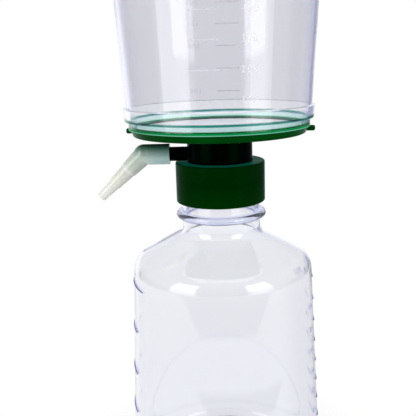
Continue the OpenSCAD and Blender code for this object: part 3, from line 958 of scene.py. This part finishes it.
def patch(nodes, azimuth, z, middle, high, low):
    """1 on a patch of the studio between two elevations, whose half widths are given at each."""
    (top, top_width), (foot, foot_width) = high, low
    away = nodes.maths("ABSOLUTE", nodes.maths("SUBTRACT", azimuth, math.radians(middle)))
    edge = nodes.spread(z, sine(foot), sine(top), math.radians(foot_width), math.radians(top_width))
    inside = nodes.spread(nodes.maths("SUBTRACT", away, edge), 0.03, -0.03)
    under = nodes.spread(z, sine(top), sine(top - 0.5))
    over = nodes.spread(z, sine(foot), sine(foot + 0.5))
    return nodes.maths("MULTIPLY", inside, nodes.maths("MULTIPLY", under, over))


def mirrored_floor(nodes, azimuth, z):
    """A pale floor, with grey things on it in front of the object, as the bottle mirrors them."""
    far = nodes.maths("MULTIPLY", patch(nodes, azimuth, z, *FAR_THINGS), 0.95)
    strip = nodes.maths("MULTIPLY", patch(nodes, azimuth, z, *FAR_STRIP), 0.4)
    near = patch(nodes, azimuth, z, *NEAR_THINGS)
    things = nodes.maths("MAXIMUM", nodes.maths("ADD", far, strip), near)
    away = nodes.maths("ABSOLUTE", azimuth)
    pale = nodes.mix(nodes.spread(away, 1.3, 2.1), FLOOR_IN_FRONT, FLOOR_BEHIND)
    pale = nodes.mix(nodes.spread(azimuth, 1.25, 1.75), pale, FLOOR_ON_RIGHT)
    return nodes.mix(nodes.maths("MINIMUM", things, 1.0), pale, GREY_THINGS)


def studio(nodes):
    """The grey studio that the gloss mirrors, by direction: panels, pale roof, floor and windows."""
    axes = nodes.add("ShaderNodeSeparateXYZ")
    nodes.set(axes.inputs[0], nodes.add("ShaderNodeTexCoord").outputs["Generated"])
    x, y, z = axes.outputs
    azimuth = nodes.maths("ARCTAN2", x, nodes.maths("MULTIPLY", y, -1.0))
    panels = nodes.ramp(nodes.spread(azimuth, -math.pi, math.pi),
                        [((angle + 180) / 360, (level, level, level * 1.04)) for angle, level in STUDIO])
    below = nodes.spread(z, sine(-14), sine(-15.2), smooth=True)
    around = nodes.mix(below, panels, mirrored_floor(nodes, azimuth, z))
    around = nodes.mix(nodes.spread(z, 0.04, 0.16, 0.0, 0.55), around, ROOF)
    roof = nodes.spread(nodes.maths("ABSOLUTE", azimuth), 0.7, 1.1, 0.45, 0.12)
    around = nodes.mix(nodes.spread(z, roof, nodes.maths("ADD", roof, 0.3)), around, ROOF)
    left, right = (patch(nodes, azimuth, z, *window) for window in WINDOWS)
    return nodes.mix(nodes.maths("MAXIMUM", left, right), around, WINDOW)


def world():
    """White behind what the camera sees, a plain light on the object, and a grey studio in its gloss."""
    scene_world = bpy.data.worlds.new("studio")
    bpy.context.scene.world = scene_world
    scene_world.use_nodes = True
    scene_world.node_tree.nodes.clear()
    nodes = Nodes(scene_world.node_tree)
    path = nodes.add("ShaderNodeLightPath").outputs
    within = nodes.maths("GREATER_THAN", path["Transmission Depth"], 0.5)
    light = nodes.mix(within, PLAIN_LIGHT, LIGHT_INSIDE)
    lifted = nodes.maths("MULTIPLY", within, LIFTED_TO_DIMMEST)
    bent = nodes.mix(lifted, studio(nodes), DIMMEST_INSIDE, "LIGHTEN")
    mirrored = nodes.mix(nodes.maths("GREATER_THAN", path["Glossy Depth"], 1.5), bent, INNER_GLOW)
    unlit = nodes.maths("LESS_THAN", path["Diffuse Depth"], 0.5)
    shown = nodes.mix(direct_sight(nodes), nodes.mix(unlit, light, mirrored), WHITE)
    background = nodes.add("ShaderNodeBackground")
    nodes.set(background.inputs["Color"], shown)
    nodes.set(nodes.add("ShaderNodeOutputWorld").inputs["Surface"], background.outputs[0])


def floor_paint():
    """Plain white paper that keeps a soft shadow and runs out into the white background."""
    material = bpy.data.materials.new("paper")
    material.use_nodes = True
    material.node_tree.nodes.clear()
    nodes = Nodes(material.node_tree)
    place = nodes.add("ShaderNodeTexCoord").outputs["Object"]
    away = nodes.vector("LENGTH", "Value", place)
    share = nodes.spread(away, *SHADOW_REACH, SHADOW_WHITE, 1.0)
    path = nodes.add("ShaderNodeLightPath").outputs
    clear = nodes.maths("MULTIPLY", nodes.maths("GREATER_THAN", path["Transmission Depth"], 0.5),
                        nodes.maths("LESS_THAN", path["Diffuse Depth"], 0.5))
    share = nodes.maths("MAXIMUM", nodes.maths("MULTIPLY", share, direct_sight(nodes)), clear)
    grain = nodes.add("ShaderNodeTexNoise")
    nodes.set(grain.inputs["Scale"], 300.0)
    nodes.set(grain.inputs["Vector"], place)
    tone = nodes.mix(grain.outputs["Fac"], *PAPER_TONES)
    diffuse = nodes.add("ShaderNodeBsdfDiffuse")
    nodes.set(diffuse.inputs["Color"], tone)
    mix = nodes.add("ShaderNodeMixShader")
    nodes.set(mix.inputs["Fac"], share)
    nodes.set(mix.inputs[1], diffuse.outputs[0])
    nodes.set(mix.inputs[2], nodes.add("ShaderNodeEmission").outputs[0])
    nodes.set(nodes.add("ShaderNodeOutputMaterial").inputs["Surface"], mix.outputs[0])
    return material


def floor():
    bm = bmesh.new()
    bmesh.ops.create_circle(bm, cap_ends=True, radius=FLOOR_R, segments=96)
    mesh = bpy.data.meshes.new("floor")
    bm.to_mesh(mesh)
    bm.free()
    mesh.materials.append(floor_paint())
    obj = bpy.data.objects.new("floor", mesh)
    obj.location.z = cad_bounds[0][2] - FLOOR_DROP
    obj.visible_glossy = False
    bpy.context.scene.collection.objects.link(obj)


def softbox(name, azimuth, distance, height, aim, size, radiance):
    """A large plain lamp that faces the axis at height aim. Azimuth is from the front, in degrees."""
    light = bpy.data.lights.new(name, "AREA")
    light.shape = "RECTANGLE"
    light.size, light.size_y = size
    light.energy = radiance * 4 * size[0] * size[1]
    obj = bpy.data.objects.new(name, light)
    bpy.context.scene.collection.objects.link(obj)
    t = math.radians(azimuth)
    place = Vector((math.sin(t) * distance, -math.cos(t) * distance, height))
    obj.location = place
    facing = (Vector((0, 0, aim)) - place).normalized()
    obj.rotation_euler = facing.to_track_quat("-Z", "Y").to_euler()
    obj.visible_camera = False
    obj.visible_transmission = False


def lamps():
    softbox("box_left", -49.5, 1.3, 0.68, 0.68, (0.80, 1.46), 1.25)
    softbox("box_right", 49.5, 1.3, 0.68, 0.68, (0.62, 1.46), 1.25)
    softbox("box_top", 0, 0.01, 1.5, 0, (1.2, 1.2), 1.0)


def camera():
    """The camera at the photograph's viewing angle: from the front, above and close."""
    data = bpy.data.cameras.new("camera")
    data.lens = LENS
    data.sensor_width = 36
    data.clip_start = 0.01
    down, left, roll = (math.radians(a) for a in (CAMERA_DOWN, CAMERA_LEFT, CAMERA_ROLL))
    ahead = Vector((-math.sin(left) * math.cos(down), math.cos(left) * math.cos(down), -math.sin(down)))
    right = Vector((math.cos(left), math.sin(left), 0))
    up = right.cross(ahead)
    level_right = right * math.cos(roll) - up * math.sin(roll)
    level_up = right * math.sin(roll) + up * math.cos(roll)
    matrix = Matrix((level_right, level_up, -ahead)).transposed().to_4x4()
    matrix.translation = Vector(CAMERA_PLACE)
    obj = bpy.data.objects.new("camera", data)
    obj.matrix_world = matrix
    bpy.context.scene.collection.objects.link(obj)
    bpy.context.scene.camera = obj


# ---------------------------------------------------------------- build

def clear_pieces():
    """The clear pieces that replace their CAD nodes."""
    bottle(bottle_plastic("bottle_polystyrene"), frosted("bottle_mark", (0.13, 0.15, 0.50), 0.35, 0.3))
    cup(cup_plastic("cup_polystyrene"), frosted("cup_mark", (0.90, 0.90, 0.93), 0.3, 0.82),
        fused_green("foot_painted_green"), veil("flange_edge", (0.84, 0.85, 0.90), 0.65))
    lid(clear_plastic("lid_polystyrene", CUP_CLEAR).material)


def raised_numbers():
    """The numbers; those on the cup's back are fainter, as in the photograph."""
    numbers({"front": veil("cup_number", (0.95, 0.95, 0.97), 0.4),
             "back": veil("cup_number_back", (0.95, 0.95, 0.97), 0.15)},
            veil("bottle_number", (0.48, 0.48, 0.78), 0.22))


def build():
    """Every piece, in its material."""
    clear_pieces()
    green = green_plastic("collar_green", collar_stops(), (0.34, 0.46), 0.55)
    collar_thread(green)
    raised_numbers()
    dress("collar", green)
    dress("filter_base", green_plastic("base_green", base_stops(), (0.14, 0.24), 0.3))
    dress("hose_adaptor", milky_plastic("adaptor_milky"))
    dress("membrane", membrane_film("membrane_white"))
    dress("gasket", silicone("gasket_silicone"))
    dress("port_plug", cotton("plug_cotton"))


def settings():
    """Enough bounces for all the clear walls that lie one behind the other, and a plain view."""
    cycles = bpy.context.scene.cycles
    cycles.max_bounces = 24
    cycles.glossy_bounces = 12
    cycles.transmission_bounces = 20
    bpy.context.scene.view_settings.view_transform = "Standard"


build()
floor()
world()
lamps()
camera()
settings()
